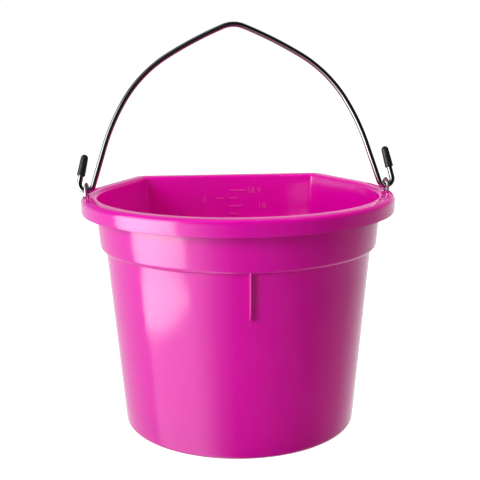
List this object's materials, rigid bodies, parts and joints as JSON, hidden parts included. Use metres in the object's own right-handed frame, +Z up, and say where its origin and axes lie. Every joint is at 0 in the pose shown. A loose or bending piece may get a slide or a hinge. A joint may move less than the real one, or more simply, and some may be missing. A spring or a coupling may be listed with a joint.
{
  "type": "feed bucket",
  "caption": "Flat-backed stable bucket for feed or water: a moulded D-shaped tub with a rolled rim and a wire bail that swings in steel loops.",
  "frame": {"origin": "on the ground, below the middle of the rim's outline", "axes": "+Z up; +X to the bucket's own left as it faces the viewer, which is the right seen from the front; -Y towards the curved front, +Y out of the flat back"},
  "size_m": [0.3798, 0.353, 0.4784],
  "materials": {
    "tub": "glossy moulded polyethylene",
    "loops": "bright galvanised wire",
    "bail": "zinc-plated wire",
    "caps": "dipped black vinyl"
  },
  "bodies": {
    "bucket": {"tub": "tub", "loop_left": "loops", "loop_right": "loops"},
    "bail": {"bail": "bail", "tip_cap_left": "caps", "tip_cap_right": "caps"}
  },
  "joints": [
    {"name": "bail_swing", "type": "hinge", "parent": "bucket", "child": "bail", "pos_m": [0, 0.0085, 0.284], "axis": [1, 0, 0], "range_deg": [-75, 105]}
  ]
}
